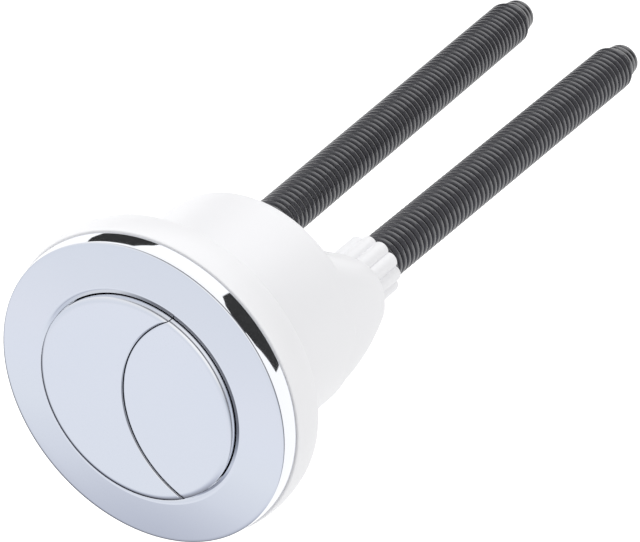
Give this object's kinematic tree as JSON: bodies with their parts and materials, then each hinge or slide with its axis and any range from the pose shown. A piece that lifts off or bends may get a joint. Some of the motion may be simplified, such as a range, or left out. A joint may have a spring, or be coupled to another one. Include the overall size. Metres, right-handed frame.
{
  "type": "push button cistern actuator",
  "caption": "Round chrome dual-flush push button on a white housing for a cistern lid, with sprung crescent and lens buttons that push long dark threaded rods down onto a flush valve.",
  "frame": {"origin": "on the axis of the round body, in the plane of the flange's underside that rests on the cistern lid", "axes": "+Z out of the chrome face, up from the lid; +X from the full-flush crescent to the half-flush lens; the rods hang towards -Z"},
  "size_m": [0.062, 0.062, 0.1667],
  "materials": {
    "chrome": "bright chrome plating on moulded plastic",
    "white_plastic": "smooth white moulding",
    "dark_plastic": "dark grey moulding with a fine thread",
    "spring_steel": "drawn stainless wire"
  },
  "bodies": {
    "housing": {"housing": "white_plastic", "tower_base": "white_plastic", "bezel_ring": "chrome", "full_flush_spring": "spring_steel", "half_flush_spring": "spring_steel"},
    "full_flush_push": {"full_flush_button": "chrome", "full_flush_plunger": "white_plastic"},
    "half_flush_push": {"half_flush_button": "chrome", "half_flush_plunger": "white_plastic"},
    "full_flush_rod": {"full_flush_rod": "dark_plastic"},
    "half_flush_rod": {"half_flush_rod": "dark_plastic"}
  },
  "joints": [
    {"name": "full_flush_press", "type": "slide", "parent": "housing", "child": "full_flush_push", "axis": [0, 0, -1], "range_m": [0, 0.0065], "stiffness_N_per_m": 300, "springref_m": -0.01, "deforming": ["full_flush_spring"]},
    {"name": "half_flush_press", "type": "slide", "parent": "housing", "child": "half_flush_push", "axis": [0, 0, -1], "range_m": [0, 0.0065], "stiffness_N_per_m": 300, "springref_m": -0.01, "deforming": ["half_flush_spring"]},
    {"name": "full_flush_rod_adjust", "type": "slide", "parent": "full_flush_push", "child": "full_flush_rod", "axis": [-0.0197, 0, -0.9998], "range_m": [-0.017, 0.014]},
    {"name": "half_flush_rod_adjust", "type": "slide", "parent": "half_flush_push", "child": "half_flush_rod", "axis": [0.0197, 0, -0.9998], "range_m": [-0.008, 0.0235]}
  ]
}
